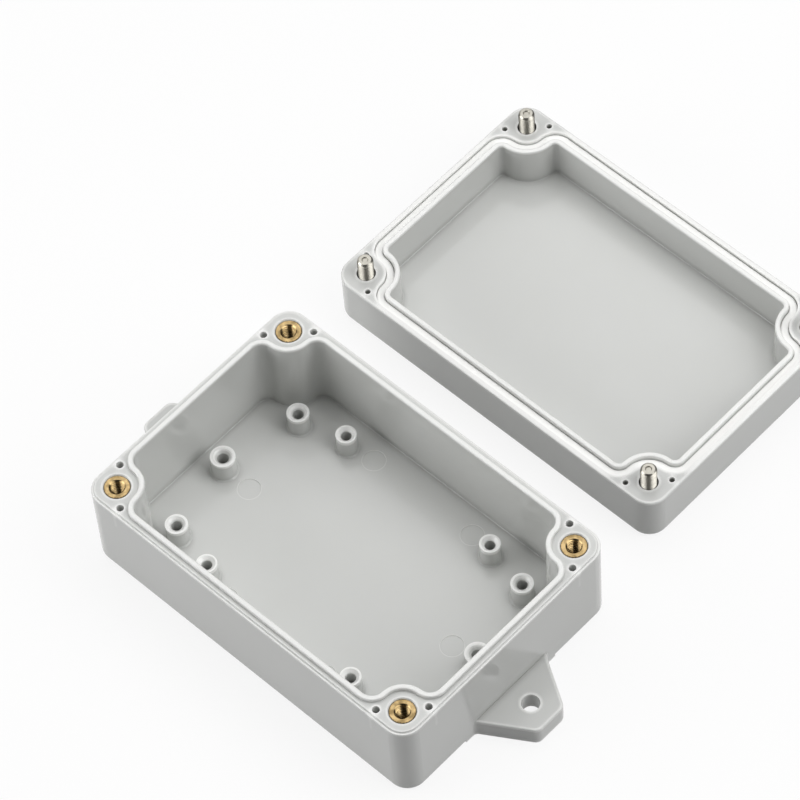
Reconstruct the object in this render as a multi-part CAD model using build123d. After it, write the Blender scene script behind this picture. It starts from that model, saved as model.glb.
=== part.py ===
from build123d import *
import math
import os

# Sealed junction box, opened: the base with its two fixing ears stands upright, and the lid lies
# upside down beside it with its four captive screws still in it.
# Millimetres, +Z up. The origin is the centre of the base's underside, X runs along the long side,
# and the lid lies on the +Y side.

# Outside of both halves
length = 100.0
width = 68.0
base_height = 25.5
lid_height = 14.5
corner_radius = 5.0
outer_draft = 0.25
base_bottom_fillet = 1.2
lid_face_fillet = 1.8

# Where the lid lies, measured from the base
lid_gap = 17.5
lid_shift = -3.2

# Walls, seal line and corner pillars. The seal line runs round the rim at a constant distance from
# the outside, and round each corner screw on an arc, with a blend between the two.
base_wall = 3.0
base_floor = 3.5
lid_wall = 4.6
lid_roof = 3.2
inner_draft = 0.4
floor_fillet = 0.3
seal_inset = 2.3
pillar_seal_radius = 5.7
pillar_blend_radius = 3.7
screw_inset = 5.7

# Rim of the base: a tongue on a flat pad, with a step down along the outside. crest_share is the
# part of the width that each rounded top edge takes on the tongue and on the lid's lip.
tongue_height = 1.0
rim_step_width = 0.6
rim_step_depth = 0.5
rim_edge_round = 0.25
crest_share = 0.3

# Rim of the lid: a groove for the gasket, and a lip along the inside. The gasket nearly fills the
# groove's width, and lies a little less deep under the rim than the tongue is high.
groove_width = 2.0
groove_depth = 2.2
lip_height = 0.3
lid_rim_round = 0.4
gasket_clearance = 0.06
gasket_thickness = 1.4
gasket_round = 0.3

# Threaded brass inserts in the base
insert_diameter = 6.2
insert_length = 8.0
insert_bore_diameter = 3.4
insert_bore_chamfer = 0.5
insert_edge_chamfer = 0.35
insert_groove_width = 2.0
insert_groove_depth = 0.3
insert_sink = 0.15
insert_clearance = 0.05
insert_mouth_chamfer = 0.25
relief_diameter = 4.6
relief_depth = 3.0

# Lid screws, standing on their heads on the surface under the lid
screw_diameter = 4.0
screw_length = 16.0
screw_tip_chamfer = 0.6
head_diameter = 7.0
head_height = 4.0
head_round = 0.9
recess_width = 1.1
recess_span = 4.0
recess_depth = 2.0
screw_hole_clearance = 0.3
head_hole_clearance = 0.4
head_hole_depth = 5.6

# Small blind holes beside each screw
base_pin_hole_diameter = 1.8
lid_pin_hole_diameter = 1.4
pin_hole_depth = 6.0
pin_hole_outset = 3.64
base_pin_hole_along = 4.6
lid_pin_hole_along = 3.9

# Standoffs on the floor of the base: a pair on the long axis, four near the pillars and four along
# the long walls
standoff_height = 5.8
standoff_bore_depth = 5.0
standoff_chamfer = 0.8
standoff_taper = 0.15
standoff_foot = 0.4
axis_standoff_x = 40.0
axis_standoff_diameter = 6.0
axis_standoff_bore = 2.8
corner_standoff_x = 35.2
corner_standoff_y = 20.3
corner_standoff_diameter = 5.4
corner_standoff_bore = 2.6
side_standoff_x = 22.6
side_standoff_y = 23.3
side_standoff_diameter = 5.0
side_standoff_bore = 2.5

# Round ejector marks on the floor of the base
ejector_diameter = 5.6
ejector_depth = 0.12
ejector_side_x = 15.5
ejector_side_y = 24.8
ejector_axis_x = 32.0

# Fixing ears on the short sides
ear_reach = 12.3
ear_thickness = 5.2
ear_root_width = 23.8
ear_end_width = 8.6
ear_corner_radius = 2.2
ear_root_radius = 1.5
ear_edge_round = 0.4
ear_hole_out = 6.0
ear_hole_diameter = 4.4
ear_bury = 1.5

# Worked out from the sizes above
tongue_width = 2 * (base_wall - seal_inset)
step_height = base_height - rim_step_depth
gasket_width = groove_width - 2 * gasket_clearance
groove_floor = lid_height - groove_depth
screw_x = length / 2 - screw_inset
screw_y = width / 2 - screw_inset
ear_hole_x = length / 2 + ear_hole_out
lid_y = width + lid_gap
corners = {"front": (1, -1), "right": (1, 1), "back": (-1, 1), "left": (-1, -1)}


def corner_arcs(offset):
    """Three arcs of one corner of the seal outline, as (start, middle, end) points.

    Points are distances in from the two outer faces. offset moves the outline inwards.
    """
    inset = seal_inset + offset
    arc = pillar_seal_radius + offset
    blend = pillar_blend_radius - offset
    near = seal_inset + pillar_blend_radius
    reach = pillar_seal_radius + pillar_blend_radius
    far = screw_inset + math.sqrt(reach**2 - (near - screw_inset) ** 2)
    lean = math.atan2(near - screw_inset, far - screw_inset)

    def on_blend(angle):
        return (far - blend * math.cos(angle), near - blend * math.sin(angle))

    def on_pillar(angle):
        return (screw_inset + arc * math.cos(angle), screw_inset + arc * math.sin(angle))

    first = ((far, inset), on_blend((lean + math.pi / 2) / 2), on_pillar(lean))
    middle = (on_pillar(lean), on_pillar(math.pi / 4), on_pillar(math.pi / 2 - lean))
    last = tuple((q, p) for p, q in reversed(first))
    return [first, middle, last]


def seal_face(offset):
    """Flat face inside the seal outline, moved inwards by offset."""
    edges = []
    last_point = None
    first_point = None
    for sx, sy in ((1, -1), (1, 1), (-1, 1), (-1, -1)):
        arcs = corner_arcs(offset)
        if sx * sy > 0:
            arcs = [tuple((p, q) for p, q in reversed(arc)) for arc in reversed(arcs)]
        for arc in arcs:
            points = [(sx * (length / 2 - p), sy * (width / 2 - q)) for p, q in arc]
            if last_point is not None and arc is arcs[0]:
                edges.append(Line(last_point, points[0]))
            if first_point is None:
                first_point = points[0]
            edges.append(ThreePointArc(*points))
            last_point = points[-1]
    edges.append(Line(last_point, first_point))
    return make_face(edges)


def outer_block(height, edge_fillet):
    """Outside of one half, with its rim at the top and a filleted closed face below."""
    rim = Pos(0, 0, height) * RectangleRounded(length, width, corner_radius)
    block = extrude(rim, amount=height, dir=(0, 0, -1), taper=outer_draft)
    closed_face = block.faces().sort_by(Axis.Z)[0]
    return fillet(closed_face.edges(), edge_fillet)


def drill(diameter, bottom, top):
    """Upright cylinder between two heights, for cutting a hole."""
    align = (Align.CENTER, Align.CENTER, Align.MIN)
    return Pos(0, 0, bottom) * Cylinder(diameter / 2, top - bottom, align=align)


def top_edges(solid):
    return solid.edges().group_by(Axis.Z)[-1]


def bottom_edges(solid):
    return solid.edges().group_by(Axis.Z)[0]


def cavity(offset, bottom, top):
    """Inside of one half, narrowing slightly towards its floor, which meets the wall in a fillet."""
    mouth = Pos(0, 0, top) * seal_face(offset)
    inside = extrude(mouth, amount=top - bottom, dir=(0, 0, -1), taper=inner_draft)
    return fillet(bottom_edges(inside), floor_fillet)


def seal_band(outer_offset, inner_offset, bottom, top, rounding):
    """Band along the seal line between two offsets and two heights, with rounded top edges."""
    outline = seal_face(outer_offset) - seal_face(inner_offset)
    band = extrude(Pos(0, 0, bottom) * outline, amount=top - bottom)
    return fillet(top_edges(band), rounding)


def rim_pad():
    """Flat pad of the base's rim, set in from the outside by a small step."""
    outline = RectangleRounded(
        length - 2 * rim_step_width,
        width - 2 * rim_step_width,
        corner_radius - rim_step_width,
    )
    pad = extrude(Pos(0, 0, step_height) * outline, amount=rim_step_depth)
    return fillet(top_edges(pad), rim_edge_round)


def standoff(diameter, bore):
    """Turned outline of one standoff, from inside the floor to its top, with a widened foot."""
    top = diameter / 2
    foot = top + standoff_taper
    bury = base_floor / 2
    floor_of_bore = standoff_height - standoff_bore_depth
    mouth = bore / 2 + standoff_chamfer
    outline = Polyline(
        (0, -bury),
        (foot + standoff_foot, -bury),
        (foot + standoff_foot, 0),
        (foot, standoff_foot),
        (top, standoff_height),
        (mouth, standoff_height),
        (bore / 2, standoff_height - standoff_chamfer),
        (bore / 2, floor_of_bore),
        (0, floor_of_bore),
        close=True,
    )
    return revolve(Plane.XZ * make_face(outline), Axis.Z)


def standoff_places():
    """Standoffs as (x, y, diameter, bore)."""
    places = []
    for sx in (-1, 1):
        places.append((sx * axis_standoff_x, 0, axis_standoff_diameter, axis_standoff_bore))
        for sy in (-1, 1):
            places.append(
                (
                    sx * corner_standoff_x,
                    sy * corner_standoff_y,
                    corner_standoff_diameter,
                    corner_standoff_bore,
                )
            )
            places.append(
                (sx * side_standoff_x, sy * side_standoff_y, side_standoff_diameter, side_standoff_bore)
            )
    return places


def ejector_marks():
    """Shallow round marks that the ejector pins leave on the floor."""
    places = [(sx * ejector_side_x, sy * ejector_side_y) for sx in (-1, 1) for sy in (-1, 1)]
    places += [(sx * ejector_axis_x, 0) for sx in (-1, 1)]
    disc = Cylinder(ejector_diameter / 2, 2 * ejector_depth)
    return [Pos(x, y, base_floor) * disc for x, y in places]


def ear():
    """Ear on the +X side: a plate that narrows outwards, flush with the underside.

    Its root spreads along the wall on two small arcs, and runs into the wall by ear_bury.
    """
    wall = length / 2 - step_height * math.tan(math.radians(outer_draft))
    end = length / 2 + ear_reach
    root_half = ear_root_width / 2
    end_half = ear_end_width / 2
    plate = make_face(
        Polyline(
            (wall, -root_half), (end, -end_half), (end, end_half), (wall, root_half), close=True
        )
    )
    strip = Pos(wall - ear_bury / 2, 0) * Rectangle(ear_bury, ear_root_width + 4 * ear_root_radius)
    outline = plate + strip
    corners_out = outline.vertices().group_by(Axis.X)[-1]
    outline = fillet(corners_out, ear_corner_radius)
    on_wall = outline.vertices().filter_by_position(Axis.X, wall - ear_bury / 2, wall + ear_bury / 2)
    roots = on_wall.sort_by(lambda vertex: abs(vertex.Y))[:2]
    outline = fillet(roots, ear_root_radius)
    plate = extrude(outline, amount=ear_thickness)
    rim = [e for e in top_edges(plate) if e.center().X > wall + ear_root_radius / 4]
    return fillet(rim, ear_edge_round)


def insert_pocket():
    """Pocket for one insert, open at the pad, with a relief below for the screw's end."""
    seat = base_height - insert_sink - insert_length
    pocket_diameter = insert_diameter + 2 * insert_clearance
    pocket = drill(pocket_diameter, seat, base_height)
    mouth = Pos(0, 0, base_height - insert_mouth_chamfer) * Cone(
        pocket_diameter / 2,
        pocket_diameter / 2 + insert_mouth_chamfer,
        insert_mouth_chamfer,
        align=(Align.CENTER, Align.CENTER, Align.MIN),
    )
    return pocket + mouth + drill(relief_diameter, seat - relief_depth, seat)


def pin_holes(diameter, along, top):
    """Two small blind holes beside one screw, for the corner at +X and +Y."""
    hole = drill(diameter, top - pin_hole_depth, top)
    return [Pos(-along, pin_hole_outset) * hole, Pos(pin_hole_outset, -along) * hole]


def at_corners(solids):
    """The solids of the +X +Y corner, mirrored to all four screw places."""
    placed = []
    for sx, sy in corners.values():
        for solid in solids:
            moved = Pos(screw_x, screw_y) * solid
            if sx < 0:
                moved = mirror(moved, about=Plane.YZ)
            if sy < 0:
                moved = mirror(moved, about=Plane.XZ)
            placed.append(moved)
    return placed


def make_base():
    """The base: one moulding with its rim, pillars, standoffs and ears."""
    body = outer_block(step_height, base_bottom_fillet)
    body = fillet(top_edges(body), rim_edge_round)
    body += [rim_pad(), ear(), mirror(ear(), about=Plane.YZ)]
    low = base_height - base_wall
    top = base_height + tongue_height
    half = tongue_width / 2
    body += seal_band(-half, half, low, top, crest_share * tongue_width)
    body -= cavity(half, base_floor, top)
    for x, y, diameter, bore in standoff_places():
        body += Pos(x, y, base_floor) * standoff(diameter, bore)
    body -= ejector_marks()
    body -= at_corners([insert_pocket()])
    body -= at_corners(pin_holes(base_pin_hole_diameter, base_pin_hole_along, base_height))
    ear_hole = drill(ear_hole_diameter, -ear_thickness, 2 * ear_thickness)
    body -= [Pos(sx * ear_hole_x, 0) * ear_hole for sx in (-1, 1)]
    return body


def lid_place(solid):
    """Moves a piece from the lid's own centre to where the lid lies."""
    return Pos(lid_shift, lid_y) * solid


def make_lid():
    """The lid: one moulding, rim upwards, with its groove, lip and screw holes."""
    body = outer_block(lid_height, lid_face_fillet)
    body = fillet(top_edges(body), lid_rim_round)
    half = groove_width / 2
    lip_inset = lid_wall - seal_inset
    lip_top = lid_height + lip_height
    body -= extrude(Pos(0, 0, groove_floor) * seal_face(-half), amount=lip_top - groove_floor)
    body -= cavity(lip_inset, lid_roof, groove_floor)
    low = groove_floor - groove_depth
    body += seal_band(half, lip_inset, low, lip_top, crest_share * (lip_inset - half))
    hole = drill(screw_diameter + 2 * screw_hole_clearance, 0, lip_top)
    head_hole = drill(head_diameter + 2 * head_hole_clearance, 0, head_hole_depth)
    body -= at_corners([hole + head_hole])
    body -= at_corners(pin_holes(lid_pin_hole_diameter, lid_pin_hole_along, lid_height))
    return lid_place(body)


def make_gasket():
    """Gasket of the lid, lying on the floor of its groove, with a rounded top."""
    half = gasket_width / 2
    top = groove_floor + gasket_thickness
    return lid_place(seal_band(-half, half, groove_floor, top, gasket_round))


def make_insert():
    """Threaded insert: a sleeve with a chamfered bore and a groove round its middle."""
    outer = insert_diameter / 2
    waist = outer - insert_groove_depth
    bore = insert_bore_diameter / 2
    mouth = bore + insert_bore_chamfer
    groove_low = (insert_length - insert_groove_width) / 2
    groove_high = groove_low + insert_groove_width
    outline = Polyline(
        (mouth, 0),
        (outer - insert_edge_chamfer, 0),
        (outer, insert_edge_chamfer),
        (outer, groove_low),
        (waist, groove_low),
        (waist, groove_high),
        (outer, groove_high),
        (outer, insert_length),
        (mouth, insert_length),
        (bore, insert_length - insert_bore_chamfer),
        (bore, insert_bore_chamfer),
        close=True,
    )
    return revolve(Plane.XZ * make_face(outline), Axis.Z)


def make_screw():
    """Pan head screw, standing on its head, with a cross recess in the head."""
    shank = screw_diameter / 2
    end = head_height + screw_length
    outline = Polyline(
        (0, 0),
        (head_diameter / 2, 0),
        (head_diameter / 2, head_height),
        (shank, head_height),
        (shank, end - screw_tip_chamfer),
        (shank - screw_tip_chamfer, end),
        (0, end),
        close=True,
    )
    screw = revolve(Plane.XZ * make_face(outline), Axis.Z)
    crown = screw.edges().filter_by(GeomType.CIRCLE).sort_by(Axis.Z)[0]
    screw = fillet(crown, head_round)
    slot = Box(recess_span, recess_width, 2 * recess_depth)
    return screw - [slot, Rot(0, 0, 90) * slot]


def build_all():
    os.makedirs("parts", exist_ok=True)
    pieces = {"base": make_base(), "lid": make_lid(), "lid_gasket": make_gasket()}
    insert = Pos(0, 0, base_height - insert_sink - insert_length) * make_insert()
    for name, (sx, sy) in corners.items():
        pieces["insert_" + name] = Pos(sx * screw_x, sy * screw_y) * insert
        screw = Pos(sx * screw_x, sy * screw_y) * make_screw()
        pieces["lid_screw_" + name] = lid_place(screw)
    for name, solid in pieces.items():
        solid.label = name
        export_step(solid, "parts/" + name + ".step")


build_all()
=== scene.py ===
# %% [markdown]
# # A sealed junction box, opened
#
# The solids of this box are already packed: a grey base with two fixing ears, its lid lying upside
# down beside it, a gasket in the lid's groove, four brass inserts and four lid screws. This lesson
# gives them their looks. The two mouldings and the gasket have the right shape, so they keep their
# solids and only get a finish. The screws and the inserts have plain shanks and bores in the solids,
# so they are modelled again here with real threads.
#
# Everything is in metres, in the frame of the solids: the origin is the middle of the base's
# underside, X runs along the box and Z is up.

import math

import bmesh
import bpy
from mathutils import Matrix, Quaternion, Vector


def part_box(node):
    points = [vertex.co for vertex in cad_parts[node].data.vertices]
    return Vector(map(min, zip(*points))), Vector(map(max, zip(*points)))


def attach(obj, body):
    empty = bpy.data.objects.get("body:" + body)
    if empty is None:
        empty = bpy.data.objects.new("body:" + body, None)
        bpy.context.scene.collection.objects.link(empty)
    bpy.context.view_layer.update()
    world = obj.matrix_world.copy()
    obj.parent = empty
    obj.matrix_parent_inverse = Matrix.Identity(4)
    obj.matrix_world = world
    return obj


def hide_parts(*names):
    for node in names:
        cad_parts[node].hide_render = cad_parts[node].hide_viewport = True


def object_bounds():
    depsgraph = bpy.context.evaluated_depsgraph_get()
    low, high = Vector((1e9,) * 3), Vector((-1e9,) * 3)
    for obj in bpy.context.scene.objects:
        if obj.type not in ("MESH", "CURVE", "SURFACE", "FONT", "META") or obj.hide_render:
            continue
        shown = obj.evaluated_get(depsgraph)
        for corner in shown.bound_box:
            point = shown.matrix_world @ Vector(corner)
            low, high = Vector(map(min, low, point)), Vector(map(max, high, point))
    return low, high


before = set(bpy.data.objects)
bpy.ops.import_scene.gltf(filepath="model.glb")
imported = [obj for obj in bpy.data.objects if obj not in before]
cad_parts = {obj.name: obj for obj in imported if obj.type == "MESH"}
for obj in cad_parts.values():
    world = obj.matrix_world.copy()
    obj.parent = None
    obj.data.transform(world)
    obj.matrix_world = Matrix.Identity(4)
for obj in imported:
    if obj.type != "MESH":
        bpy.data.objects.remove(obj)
solid_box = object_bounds()
MM = 0.001

# %% [markdown]
# ## The camera
#
# The photo is taken with a long lens from high up, over the front corner of the base, so that one
# long side and one ear show whole. The place of the camera was worked out from the screw holes and
# the rim, whose real distances are known. A long lens far away gives nearly parallel edges, which
# is what makes a product photo look calm. The camera is described by where it stands, the point
# that it looks at and a small roll, because those three are easy to change by eye.

# %% Camera
camera_place = Vector((435.99, -384.05, 949.93)) * MM
look_at = Vector((-14.41, 33.71, 20.0)) * MM
camera_roll = math.radians(-5.10)
sensor_width = 36.0
lens_length = 217.65

camera = bpy.data.objects.new("camera", bpy.data.cameras.new("camera"))
camera.data.sensor_width = sensor_width
camera.data.lens = lens_length
camera.location = camera_place
camera.rotation_mode = "QUATERNION"
level = (look_at - camera_place).to_track_quat("-Z", "Y")
camera.rotation_quaternion = level @ Quaternion((0, 0, 1), camera_roll)
bpy.context.scene.collection.objects.link(camera)
bpy.context.scene.camera = camera
print("camera distance, mm:", round((look_at - camera_place).length / MM))

# %% [markdown]
# ## Colours and nodes
#
# Colours are written as the sRGB hex values that a paint program shows, and one function turns
# them to the linear values that the renderer works with. A second small function adds any node
# with its settings and links, so that each material below reads from its first node to its last.

# %% Helpers for colours and nodes
def linear(hex_colour):
    """Linear RGBA of an sRGB colour such as #C0C0C0."""
    channels = [int(hex_colour[i : i + 2], 16) / 255 for i in (1, 3, 5)]
    return [c / 12.92 if c <= 0.04045 else ((c + 0.055) / 1.055) ** 2.4 for c in channels] + [1.0]


def add(tree, kind, sockets=None, **settings):
    """Adds a node. Each socket gets a value, or a link from another node's output."""
    made = tree.nodes.new(kind)
    for name, value in settings.items():
        setattr(made, name, value)
    for socket, value in (sockets or {}).items():
        if isinstance(value, bpy.types.NodeSocket):
            tree.links.new(value, made.inputs[socket])
        else:
            made.inputs[socket].default_value = value
    return made


def new_material(name):
    """An empty material with its output node."""
    material = bpy.data.materials.new(name)
    material.use_nodes = True
    material.node_tree.nodes.clear()
    return material, material.node_tree, material.node_tree.nodes.new("ShaderNodeOutputMaterial")


def waves_per_metre(size_mm):
    """Scale of a pattern whose marks are size_mm apart on Object coordinates."""
    return 1 / (size_mm * MM)


print("mid grey is", [round(c, 3) for c in linear("#808080")[:3]])

# %% [markdown]
# ## Studio: floor, softboxes and surroundings
#
# The photo is a cut-out on white, lit from both sides of the camera: a low softbox on the left and
# a tall one on the right. A wide one high behind the box lights the rims. The screws show both
# sides as two bright bands with a dark one between, where the unlit camera side is mirrored. A
# white card stands over the low softbox for the left band. It is only mirrored and gives no
# diffuse light, so the grey walls keep their shading. The rest of the room is nearly dark.
#
# The floor throws light back on the walls as light grey paper does. Only what the camera sees, or
# what a shiny surface mirrors, is made white with Light Path, so the box gets no extra light. The
# floor keeps part of its own shading, so that the box still has a soft shadow. It lies a hair
# below the box, because two faces in one plane flicker.

# %% Floor
floor_size = 6.0
floor_gap = 0.05 * MM
floor_glow = 0.86

bm = bmesh.new()
bmesh.ops.create_grid(bm, x_segments=1, y_segments=1, size=floor_size / 2)
bmesh.ops.translate(bm, verts=bm.verts[:], vec=(0, 0, -floor_gap))
floor_mesh = bpy.data.meshes.new("studio_floor")
bm.to_mesh(floor_mesh)
bm.free()
studio_floor = bpy.data.objects.new("studio_floor", floor_mesh)
bpy.context.scene.collection.objects.link(studio_floor)

matt_paper, tree, output = new_material("matt_studio_paper")
path = add(tree, "ShaderNodeLightPath")
mirrored = add(
    tree, "ShaderNodeMath",
    {0: path.outputs["Is Glossy Ray"], 1: path.outputs["Is Transmission Ray"]},
    operation="MAXIMUM",
)
seen = add(
    tree, "ShaderNodeMath", {0: path.outputs["Is Camera Ray"], 1: mirrored.outputs[0]},
    operation="MAXIMUM",
)
tone = add(
    tree, "ShaderNodeMix", {"Factor": seen.outputs[0], "A": linear("#A8A8A8"), "B": linear("#F8F8F8")},
    data_type="RGBA",
)
paper = add(tree, "ShaderNodeBsdfDiffuse", {"Color": tone.outputs["Result"]})
glow = add(tree, "ShaderNodeEmission", {"Color": linear("#FFFFFF"), "Strength": 1.0})
share = add(tree, "ShaderNodeMath", {0: seen.outputs[0], 1: floor_glow}, operation="MULTIPLY")
both = add(tree, "ShaderNodeMixShader", {0: share.outputs[0], 1: paper.outputs[0], 2: glow.outputs[0]})
tree.links.new(both.outputs[0], output.inputs["Surface"])
floor_mesh.materials.append(matt_paper)
print("floor side, m:", floor_size)

# %% Softboxes
softbox_distance = 0.75
aim = (solid_box[0] + solid_box[1]) / 2
camera_side = math.atan2(camera_place.y - aim.y, camera_place.x - aim.x)


def softbox(name, turn, rise, width, height, power, only_mirrored=False):
    """Rectangular lamp that faces the box, so many degrees round from the camera and up."""
    lamp = bpy.data.lights.new(name, "AREA")
    lamp.shape = "RECTANGLE"
    lamp.size = width
    lamp.size_y = height
    lamp.energy = power
    facing = camera_side + math.radians(turn)
    out = Vector((math.cos(facing), math.sin(facing), math.tan(math.radians(rise)))).normalized()
    made = bpy.data.objects.new(name, lamp)
    made.location = aim + out * softbox_distance
    made.rotation_mode = "QUATERNION"
    made.rotation_quaternion = (-out).to_track_quat("-Z", "Y")
    made.visible_camera = False
    made.visible_diffuse = not only_mirrored
    bpy.context.scene.collection.objects.link(made)
    print(name, "stands at", [round(v, 2) for v in made.location])


softbox("softbox_left", turn=-84, rise=18, width=0.60, height=0.40, power=2.85)
softbox("card_left", turn=-84, rise=47, width=0.60, height=0.42, power=1.7, only_mirrored=True)
softbox("softbox_right", turn=70, rise=44, width=0.60, height=0.75, power=3.8)
softbox("softbox_back", turn=180, rise=66, width=1.00, height=0.80, power=4.0)

# %% Surroundings
room_grey = 0.03

world = bpy.data.worlds.new("studio")
bpy.context.scene.world = world
world.use_nodes = True
tree = world.node_tree
tree.nodes.clear()
path = add(tree, "ShaderNodeLightPath")
shown = add(
    tree, "ShaderNodeMix", {"Factor": path.outputs["Is Camera Ray"], "A": room_grey, "B": 1.0}
)
background = add(
    tree, "ShaderNodeBackground", {"Color": linear("#FFFFFF"), "Strength": shown.outputs[0]}
)
world_output = tree.nodes.new("ShaderNodeOutputWorld")
tree.links.new(background.outputs[0], world_output.inputs["Surface"])

bpy.context.scene.view_settings.view_transform = "Standard"
print("surroundings:", room_grey, "of white")

# %% [markdown]
# ## Finish of the two mouldings
#
# Both halves are ABS, injection moulded in a polished tool. To the eye that is an even light grey
# with a clear gloss: near its foot each wall mirrors the floor, the ear and the standoffs. Moulded
# plastic is never quite flat, so a very shallow ripple a few millimetres long bends those
# reflections, and a finer grain makes their edges soft. The real grain is finer still, and is
# drawn coarse enough to show. Colour and gloss also change very slightly from patch to patch.

# %% ABS: ripple, grain and gloss
ripple_mm = 7.0
ripple_depth = 0.008 * MM
grain_mm = 0.6
grain_depth = 0.002 * MM
patch_mm = 18.0
patch_low = 0.3
patch_high = 0.7
smoothest_patch = 0.10
roughest_patch = 0.17

abs_grey, tree, output = new_material("moulded_abs_light_grey")
place = add(tree, "ShaderNodeTexCoord").outputs["Object"]
ripple = add(
    tree, "ShaderNodeTexNoise",
    {"Vector": place, "Scale": waves_per_metre(ripple_mm), "Detail": 1.0, "Roughness": 0.4},
)
rippled = add(
    tree, "ShaderNodeBump", {"Strength": 1.0, "Distance": ripple_depth, "Height": ripple.outputs["Fac"]}
)
grain = add(
    tree, "ShaderNodeTexNoise",
    {"Vector": place, "Scale": waves_per_metre(grain_mm), "Detail": 2.0, "Roughness": 0.5},
)
grained = add(
    tree, "ShaderNodeBump",
    {
        "Strength": 1.0,
        "Distance": grain_depth,
        "Height": grain.outputs["Fac"],
        "Normal": rippled.outputs[0],
    },
)
patches = add(
    tree, "ShaderNodeTexNoise",
    {"Vector": place, "Scale": waves_per_metre(patch_mm), "Detail": 2.0, "Roughness": 0.5},
)
patch_roughness = add(
    tree, "ShaderNodeMapRange",
    {
        "Value": patches.outputs["Fac"],
        "From Min": patch_low,
        "From Max": patch_high,
        "To Min": smoothest_patch,
        "To Max": roughest_patch,
    },
)
print("ripple, grain and patches, mm:", ripple_mm, grain_mm, patch_mm)

# %% [markdown]
# ## Edges, creases and holes of the mouldings
#
# Outer edges get a painted highlight: their colour is made paler. The tool can't be polished into
# its inner corners, so creases are duller. An Ambient Occlusion node finds both: it measures how
# much lies close by, outside the surface for a crease, and inside it for an edge. Its output is the
# open share, and each mask below starts at one share and is full at a lower one.
#
# The corners deep in the box, where wall and floor meet, get painted shade: their colour is made
# darker, and the height on Object coordinates tells them from the shallow steps of the rims. Light
# hardly finds its way out of the pin holes and the bores, so these get the darkest painted shade.

# %% ABS: masks
mask_samples = 8
crease_reach_mm = 1.6
crease_starts = 0.95
crease_full = 0.45
narrow_starts = 0.4
narrow_full = 0.15
edge_reach_mm = 1.3
edge_starts = 0.86
edge_full = 0.6
deep_below_mm = 5.0
shallow_above_mm = 8.0

open_share = add(
    tree, "ShaderNodeAmbientOcclusion", {"Distance": crease_reach_mm * MM},
    samples=mask_samples, only_local=True,
).outputs["AO"]
crease = add(
    tree, "ShaderNodeMapRange", {"Value": open_share, "From Min": crease_starts, "From Max": crease_full}
)
# Mask of the painted shade in the pin holes and bores.
narrow = add(
    tree, "ShaderNodeMapRange", {"Value": open_share, "From Min": narrow_starts, "From Max": narrow_full}
)
inner_share = add(
    tree, "ShaderNodeAmbientOcclusion", {"Distance": edge_reach_mm * MM},
    samples=mask_samples, only_local=True, inside=True,
).outputs["AO"]
# Mask of the painted highlight along the outer edges.
edge = add(
    tree, "ShaderNodeMapRange", {"Value": inner_share, "From Min": edge_starts, "From Max": edge_full}
)
height = add(tree, "ShaderNodeSeparateXYZ", {0: place}).outputs["Z"]
deep = add(
    tree, "ShaderNodeMapRange",
    {
        "Value": height,
        "From Min": deep_below_mm * MM,
        "From Max": shallow_above_mm * MM,
        "To Min": 1.0,
        "To Max": 0.0,
    },
)
# Mask of the painted shade in creases low in the box, where wall and floor meet.
deep_crease_shade_mask = add(
    tree, "ShaderNodeMath", {0: crease.outputs[0], 1: deep.outputs[0]}, operation="MULTIPLY"
)
print("masks reach, mm:", crease_reach_mm, edge_reach_mm)

# %% ABS: colour and shader
crease_dulling = 0.6

even_grey = add(
    tree, "ShaderNodeMix",
    {"Factor": patches.outputs["Fac"], "A": linear("#CCCDCA"), "B": linear("#D0D1CF")},
    data_type="RGBA",
)
# Painted shade: the deep creases are darkened in the colour.
painted_shade_in_deep_creases = add(
    tree, "ShaderNodeMix",
    {"Factor": deep_crease_shade_mask.outputs[0], "A": even_grey.outputs["Result"], "B": linear("#ADAEAB")},
    data_type="RGBA",
)
# Painted shade: the pin holes and bores are darkened most in the colour.
painted_shade_in_holes = add(
    tree, "ShaderNodeMix",
    {"Factor": narrow.outputs[0], "A": painted_shade_in_deep_creases.outputs["Result"], "B": linear("#7E807A")},
    data_type="RGBA",
)
# Painted highlight: the outer edges are made paler in the colour.
painted_edge_highlights = add(
    tree, "ShaderNodeMix",
    {"Factor": edge.outputs[0], "A": painted_shade_in_holes.outputs["Result"], "B": linear("#F8F8F6")},
    data_type="RGBA",
)
dulled = add(
    tree, "ShaderNodeMath",
    {0: crease.outputs[0], 1: crease_dulling, 2: patch_roughness.outputs[0]},
    operation="MULTIPLY_ADD",
)
shader = add(
    tree, "ShaderNodeBsdfPrincipled",
    {
        "Base Color": painted_edge_highlights.outputs["Result"],
        "Roughness": dulled.outputs[0],
        "IOR": 1.53,
        "Normal": grained.outputs[0],
    },
)
tree.links.new(shader.outputs[0], output.inputs["Surface"])
for name in ("base", "lid"):
    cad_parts[name].material_slots[0].material = abs_grey
print(abs_grey.name, "has", len(tree.nodes), "nodes")

# %% [markdown]
# ## Finish of the gasket
#
# The gasket is white silicone rubber. It is whiter than the plastic beside it, and its skin is
# finely dimpled, which gives a satin sheen instead of gloss. Real silicone also lets a little light
# in. On a strip this narrow that only softens its shading, so a nearly white colour stands for it.

# %% Silicone
skin_mm = 0.5
skin_depth = 0.01 * MM
smoothest_skin = 0.40
roughest_skin = 0.55

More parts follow.
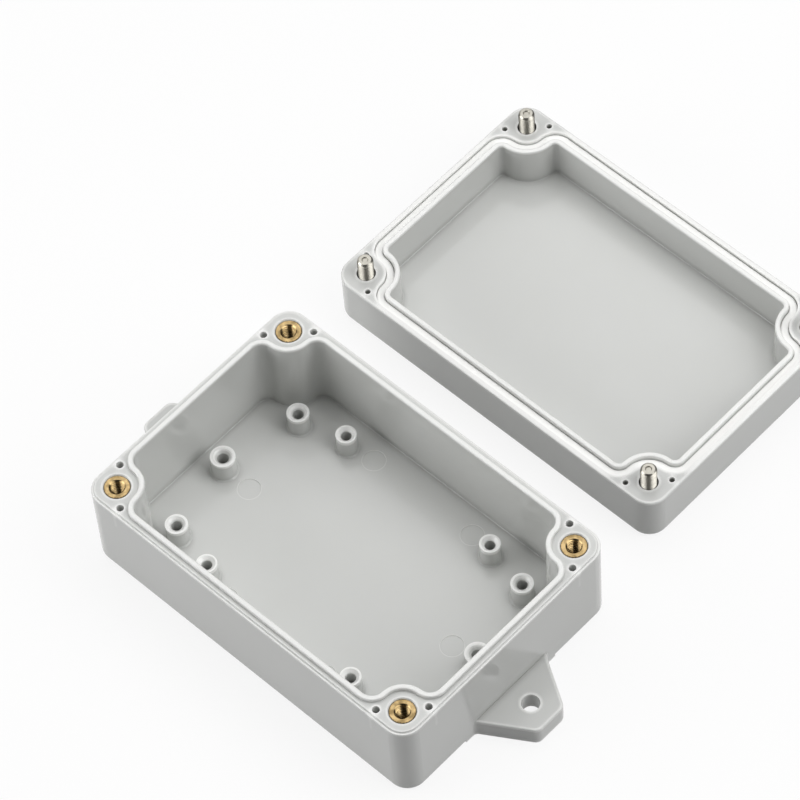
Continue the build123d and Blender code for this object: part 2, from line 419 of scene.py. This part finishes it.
silicone, tree, output = new_material("silicone_rubber_white")
place = add(tree, "ShaderNodeTexCoord").outputs["Object"]
skin = add(
    tree, "ShaderNodeTexNoise",
    {"Vector": place, "Scale": waves_per_metre(skin_mm), "Detail": 3.0, "Roughness": 0.6},
)
satin = add(
    tree, "ShaderNodeMapRange",
    {"Value": skin.outputs["Fac"], "To Min": smoothest_skin, "To Max": roughest_skin},
)
dimpled = add(
    tree, "ShaderNodeBump", {"Strength": 1.0, "Distance": skin_depth, "Height": skin.outputs["Fac"]}
)
shader = add(
    tree, "ShaderNodeBsdfPrincipled",
    {
        "Base Color": linear("#FBFBF9"),
        "Roughness": satin.outputs[0],
        "IOR": 1.41,
        "Normal": dimpled.outputs[0],
    },
)
tree.links.new(shader.outputs[0], output.inputs["Surface"])
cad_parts["lid_gasket"].material_slots[0].material = silicone
print(silicone.name, "has", len(tree.nodes), "nodes")

# %% [markdown]
# ## Turning and thread cutting
#
# Screws and inserts are turned parts, so both start from a lathe: an outline beside the axis that
# spin turns through a full circle, where it merges the end with the start. A thread is spun from
# the outline of a single pitch, which climbs by one pitch a turn. Its root is a quarter of the pitch
# wide and its crest an eighth, as on every metric thread. The coil gets a few spare turns, and its
# ends are then cut flat with bisect_plane and closed.

# %% Lathe
lathe_steps = 48
merge_distance = 0.0005 * MM


def spin_outline(outline, turns, steps, climb):
    """Mesh that an outline of (radius, height) points sweeps round the Z axis."""
    made = bmesh.new()
    points = [made.verts.new((radius, 0, height)) for radius, height in outline]
    edges = [made.edges.new(pair) for pair in zip(points, points[1:])]
    bmesh.ops.spin(
        made, geom=points + edges, cent=(0, 0, 0), axis=(0, 0, 1), dvec=(0, 0, climb / steps),
        angle=2 * math.pi * turns, steps=steps * turns, use_merge=not climb, use_duplicate=False,
    )
    bmesh.ops.remove_doubles(made, verts=made.verts[:], dist=merge_distance)
    return made


def close_up(made):
    """Fills what is open and turns all faces outwards."""
    rim = [edge for edge in made.edges if edge.is_boundary]
    if rim:
        bmesh.ops.holes_fill(made, edges=rim, sides=0)
    bmesh.ops.recalc_face_normals(made, faces=made.faces[:])
    return made


def lathe(outline, steps=lathe_steps):
    """Solid of revolution from an outline that starts and ends on the axis."""
    return close_up(spin_outline(outline, 1, steps, 0))


print("lathe steps in a turn:", lathe_steps)

# %% Thread
thread_steps = 32
spare_turns = 4


def threaded_rod(major, minor, pitch, low, high):
    """Closed rod with a metric thread between two heights, given its radii at crest and root."""
    start = low - spare_turns / 2 * pitch
    outline = [
        (minor, start),
        (minor, start + pitch / 4),
        (major, start + pitch * 9 / 16),
        (major, start + pitch * 11 / 16),
        (minor, start + pitch),
    ]
    turns = math.ceil((high - low) / pitch) + spare_turns
    made = spin_outline(outline, turns, thread_steps, pitch)
    for height, side in ((low, -1), (high, 1)):
        bmesh.ops.bisect_plane(
            made, geom=made.verts[:] + made.edges[:] + made.faces[:], dist=merge_distance,
            plane_co=(0, 0, height), plane_no=(0, 0, side), clear_outer=True,
        )
    return close_up(made)


print("thread steps in a turn:", thread_steps)

# %% [markdown]
# ## Working a piece
#
# The turned shapes are joined, cut or crossed with a Boolean modifier. Cutting with a second shape
# is what a tap does too. The result becomes the piece's own mesh. At the end every face is smooth,
# and the sharp edges are those that bend by more than a set angle.

# %% Objects, Boolean work and smoothing
sharp_degrees = 25


def as_object(made, name):
    """Object from a bmesh, linked to the scene."""
    mesh = bpy.data.meshes.new(name)
    made.to_mesh(mesh)
    made.free()
    piece = bpy.data.objects.new(name, mesh)
    bpy.context.scene.collection.objects.link(piece)
    return piece


def work(piece, tool, operation):
    """Joins, cuts or intersects a piece with a tool, and deletes the tool."""
    step = piece.modifiers.new(operation, "BOOLEAN")
    step.operation = operation
    step.solver = "EXACT"
    step.object = tool
    bpy.context.view_layer.update()
    worked = bpy.data.meshes.new_from_object(piece.evaluated_get(bpy.context.evaluated_depsgraph_get()))
    piece.modifiers.clear()
    piece.data = worked
    bpy.data.objects.remove(tool)


def smooth_by_angle(piece):
    """Smooth shading, with the edges that bend by more than the sharp angle left sharp."""
    made = bmesh.new()
    made.from_mesh(piece.data)
    bmesh.ops.remove_doubles(made, verts=made.verts[:], dist=merge_distance)
    bmesh.ops.recalc_face_normals(made, faces=made.faces[:])
    for face in made.faces:
        face.smooth = True
    for edge in made.edges:
        edge.smooth = edge.is_manifold and edge.calc_face_angle() < math.radians(sharp_degrees)
    made.to_mesh(piece.data)
    made.free()
    return piece


print("edges are sharp above", sharp_degrees, "degrees")

# %% [markdown]
# ## Lid screws
#
# Each lid screw is a stainless pan head screw, M4 with its coarse thread of 0.7 mm pitch. It
# stands on its head, so its tip shows above the lid. A threaded rod is crossed with a plain blank
# that is slightly wider, so the blank only shapes the tip: its chamfer cuts the last turns of the
# thread, as on the real one, and the end has a shallow cup. Rod and blank start inside the head,
# which is then joined on. The cup and the cross recess are narrower at the bottom. One screw is
# made and then copied to the four places of the CAD screws.

# %% Screw sizes
thread_pitch = 0.7 * MM
thread_major = 1.96 * MM
thread_minor = 1.58 * MM
head_height = 4.0 * MM
head_round = 0.9 * MM
tip_chamfer = 0.6 * MM
cup_radius = 0.8 * MM
cup_depth = 0.3 * MM
shoulder_length = 1.2 * MM
recess_width = 1.1 * MM
recess_span = 4.0 * MM
recess_depth = 2.0 * MM
bottom_share = 0.75
rod_foot = head_height / 2
blank_foot = head_height * 0.6
blank_radius = thread_major * 1.05
quarter_turn = [math.radians(angle) for angle in range(0, 91, 15)]

low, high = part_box("lid_screw_front")
head_radius = (high.x - low.x) / 2
screw_end = high.z
print("screw, mm:", round(2 * head_radius / MM, 2), "x", round(screw_end / MM, 2))


# %% Screw
def cut_cross(screw):
    """Cross recess in the underside of the head."""
    for length, width in ((recess_span, recess_width), (recess_width, recess_span)):
        slot = bmesh.new()
        bmesh.ops.create_cube(slot, size=1)
        bmesh.ops.scale(slot, vec=(length, width, 2 * recess_depth), verts=slot.verts[:])
        bottom = [vertex for vertex in slot.verts if vertex.co.z > 0]
        bmesh.ops.scale(slot, vec=(bottom_share, bottom_share, 1), verts=bottom)
        work(screw, as_object(slot, "slot"), "DIFFERENCE")


def make_screw():
    """One screw on the Z axis, head down."""
    rod = threaded_rod(thread_major, thread_minor, thread_pitch, rod_foot, screw_end + thread_pitch)
    screw = as_object(rod, "screw")
    blank = lathe(
        [
            (0, blank_foot),
            (blank_radius, blank_foot),
            (blank_radius, screw_end - tip_chamfer),
            (blank_radius - tip_chamfer, screw_end),
            (cup_radius, screw_end),
            (cup_radius * bottom_share, screw_end - cup_depth),
            (0, screw_end - cup_depth),
        ]
    )
    work(screw, as_object(blank, "blank"), "INTERSECT")
    arc = [
        (
            head_radius - head_round + head_round * math.sin(angle),
            head_round - head_round * math.cos(angle),
        )
        for angle in quarter_turn
    ]
    head = lathe(
        [(0, 0)]
        + arc
        + [
            (head_radius, head_height),
            (thread_minor, head_height),
            (thread_minor, head_height + shoulder_length),
            (0, head_height + shoulder_length),
        ]
    )
    work(screw, as_object(head, "head"), "UNION")
    cut_cross(screw)
    return smooth_by_angle(screw)


screw = make_screw()
print("screw faces:", len(screw.data.polygons))

# %% [markdown]
# ## Threaded inserts
#
# The inserts are turned brass, pressed into the pillars. Three bands of straight knurling grip the
# plastic, with grooves between them. The top band's teeth show as a fine uneven edge round the
# ring. They are turned on the same lathe, with every second column of points pushed inwards for
# the knurling. The points of the grooves lie at the waist, so their radius tells them apart and
# they stay. The bore is cut with a tap, which is a threaded rod a little larger than the screw.

# %% Insert sizes
tap_major = 2.05 * MM
tap_minor = 1.66 * MM
mouth_chamfer = 0.28 * MM
edge_chamfer = 0.1 * MM
groove_depth = 0.3 * MM
groove_width = 2.0 * MM
top_band = 0.8 * MM
knurl_depth = 0.16 * MM
knurl_teeth = 30
cutter_overshoot = 1.0 * MM

low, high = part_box("insert_front")
insert_radius = (high.x - low.x) / 2
insert_length = high.z - low.z
waist = insert_radius - groove_depth
waist_limit = waist + knurl_depth / 4
print("insert, mm:", round(2 * insert_radius / MM, 2), "x", round(insert_length / MM, 2))


# %% Insert
def knurl(body):
    """Pushes in every second column of points, except in the grooves."""
    for vertex in body.verts:
        step = round(math.atan2(vertex.co.y, vertex.co.x) / math.pi * knurl_teeth)
        if vertex.co.xy.length > waist_limit and step % 2:
            vertex.co.xy *= 1 - knurl_depth / insert_radius


def make_insert():
    """One insert on the Z axis, standing on the origin."""
    groove_low = (insert_length - groove_width) / 2
    groove_high = groove_low + groove_width
    body = lathe(
        [
            (0, 0),
            (insert_radius - knurl_depth, 0),
            (insert_radius, knurl_depth),
            (insert_radius, groove_low - knurl_depth),
            (waist, groove_low),
            (waist, groove_high),
            (insert_radius, groove_high + knurl_depth),
            (insert_radius, insert_length - top_band - knurl_depth),
            (waist, insert_length - top_band),
            (insert_radius, insert_length - top_band + knurl_depth),
            (insert_radius, insert_length - edge_chamfer),
            (insert_radius - edge_chamfer, insert_length),
            (0, insert_length),
        ],
        steps=2 * knurl_teeth,
    )
    knurl(body)
    insert = as_object(body, "insert")
    tap = threaded_rod(tap_major, tap_minor, thread_pitch, -thread_pitch, insert_length + thread_pitch)
    work(insert, as_object(tap, "tap"), "DIFFERENCE")
    mouth_radius = tap_minor + mouth_chamfer
    countersink = lathe(
        [
            (0, insert_length - mouth_radius),
            (mouth_radius, insert_length),
            (mouth_radius, insert_length + cutter_overshoot),
            (0, insert_length + cutter_overshoot),
        ]
    )
    work(insert, as_object(countersink, "countersink"), "DIFFERENCE")
    return smooth_by_angle(insert)


insert = make_insert()
print("insert faces:", len(insert.data.polygons))

# %% [markdown]
# ## Finish of the metal
#
# Stainless steel screws have bright rolled threads, with fine marks along the thread. The brass is
# turned, so its top face has very fine rings, and handling has left it darker in places. Real rings
# are closer together, and are drawn 0.12 mm apart so that a close view shows them.
#
# Rings need a centre, and there are four of each piece: the four lie at equal distances from the
# middle of their half of the box, so the absolute value of X and Y from that middle gives one
# centre for all four.

# %% Rings and tarnish
ring_mm = 0.12
ring_share = 0.3
mark_mm = 0.25
mark_depth = 0.002 * MM
tarnish_mm = 1.6
tarnish_starts = 0.35
tarnish_full = 0.65


def ring_distance(tree, place, middle, offset):
    """Distance from the nearest of the four screw axes round the middle of one half."""
    from_middle = add(tree, "ShaderNodeVectorMath", {0: place, 1: middle}, operation="SUBTRACT")
    folded = add(tree, "ShaderNodeVectorMath", {0: from_middle.outputs[0]}, operation="ABSOLUTE")
    from_axis = add(
        tree, "ShaderNodeVectorMath", {0: folded.outputs[0], 1: offset}, operation="SUBTRACT"
    )
    flat = add(
        tree, "ShaderNodeVectorMath", {0: from_axis.outputs[0], 1: (1, 1, 0)}, operation="MULTIPLY"
    )
    return add(tree, "ShaderNodeVectorMath", {0: flat.outputs[0]}, operation="LENGTH").outputs["Value"]


def rings_and_marks(tree, distance, marks):
    """Normal of a surface with fine rings round the nearest axis and small marks."""
    turned = add(
        tree, "ShaderNodeMath", {0: distance, 1: 2 * math.pi / (ring_mm * MM)}, operation="MULTIPLY"
    )
    rings = add(tree, "ShaderNodeMath", {0: turned.outputs[0]}, operation="SINE")
    height = add(
        tree, "ShaderNodeMath", {0: rings.outputs[0], 1: ring_share, 2: marks}, operation="MULTIPLY_ADD"
    )
    bumped = add(
        tree, "ShaderNodeBump", {"Strength": 1.0, "Distance": mark_depth, "Height": height.outputs[0]}
    )
    return bumped.outputs[0]


def tarnished(tree, place, bright_hex, dark_hex):
    """Colour of metal that is darker in places."""
    tarnish = add(
        tree, "ShaderNodeTexNoise",
        {"Vector": place, "Scale": waves_per_metre(tarnish_mm), "Detail": 2.0},
    )
    darkened = add(
        tree, "ShaderNodeMapRange",
        {"Value": tarnish.outputs["Fac"], "From Min": tarnish_starts, "From Max": tarnish_full},
    )
    colour = add(
        tree, "ShaderNodeMix",
        {"Factor": darkened.outputs[0], "A": linear(bright_hex), "B": linear(dark_hex)},
        data_type="RGBA",
    )
    return colour.outputs["Result"]


print("rings and marks, mm:", ring_mm, mark_mm)

# %% Metals
smoothest_share = 0.8
roughest_share = 1.4


def middle_of(node):
    """Centre of a CAD node's box."""
    low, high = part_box(node)
    return (low + high) / 2


def metal(name, bright_hex, dark_hex, roughness, middle, offset):
    """Turned metal with fine rings round each screw axis, small marks and darker places."""
    material, tree, output = new_material(name)
    place = add(tree, "ShaderNodeTexCoord").outputs["Object"]
    marks = add(
        tree, "ShaderNodeTexNoise", {"Vector": place, "Scale": waves_per_metre(mark_mm), "Detail": 2.0}
    ).outputs["Fac"]
    worn = add(
        tree, "ShaderNodeMapRange",
        {"Value": marks, "To Min": roughness * smoothest_share, "To Max": roughness * roughest_share},
    )
    shader = add(
        tree, "ShaderNodeBsdfPrincipled",
        {
            "Base Color": tarnished(tree, place, bright_hex, dark_hex),
            "Metallic": 1.0,
            "Roughness": worn.outputs[0],
            "Normal": rings_and_marks(tree, ring_distance(tree, place, middle, offset), marks),
        },
    )
    tree.links.new(shader.outputs[0], output.inputs["Surface"])
    print(name, "has", len(tree.nodes), "nodes")
    return material


brass_offset = middle_of("insert_right") - middle_of("base")
lid_middle = middle_of("lid")
screw_offset = middle_of("lid_screw_right") - lid_middle
turned_brass = metal(
    "turned_brass", "#BDA477", "#86724F", roughness=0.20,
    middle=(0, 0, 0), offset=(brass_offset.x, brass_offset.y, 0),
)
stainless = metal(
    "stainless_steel_rolled", "#B8B5AC", "#A9A69D", roughness=0.29,
    middle=(lid_middle.x, lid_middle.y, 0), offset=(screw_offset.x, screw_offset.y, 0),
)

# %% [markdown]
# ## Setting screws and inserts in their places
#
# A piece's object stays at the origin and its place goes into its mesh, as with the solids. Each
# copy takes its place from the CAD node that it stands for, and moves with the same body.

# %% Place the copies
corners = ("front", "right", "back", "left")


def set_in_place(pattern, node, body, material):
    """Copies a pattern piece to a CAD node's axis and lets it stand for that node."""
    low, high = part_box(node)
    piece = bpy.data.objects.new(node + "_threaded", pattern.data.copy())
    bpy.context.scene.collection.objects.link(piece)
    piece.data.transform(Matrix.Translation(((low.x + high.x) / 2, (low.y + high.y) / 2, low.z)))
    piece.data.materials.clear()
    piece.data.materials.append(material)
    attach(piece, body)
    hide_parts(node)
    print(piece.name, "rides on", body)


for corner in corners:
    node = "lid_screw_" + corner
    set_in_place(screw, node, node, stainless)
    set_in_place(insert, "insert_" + corner, "base", turned_brass)
bpy.data.objects.remove(screw)
bpy.data.objects.remove(insert)
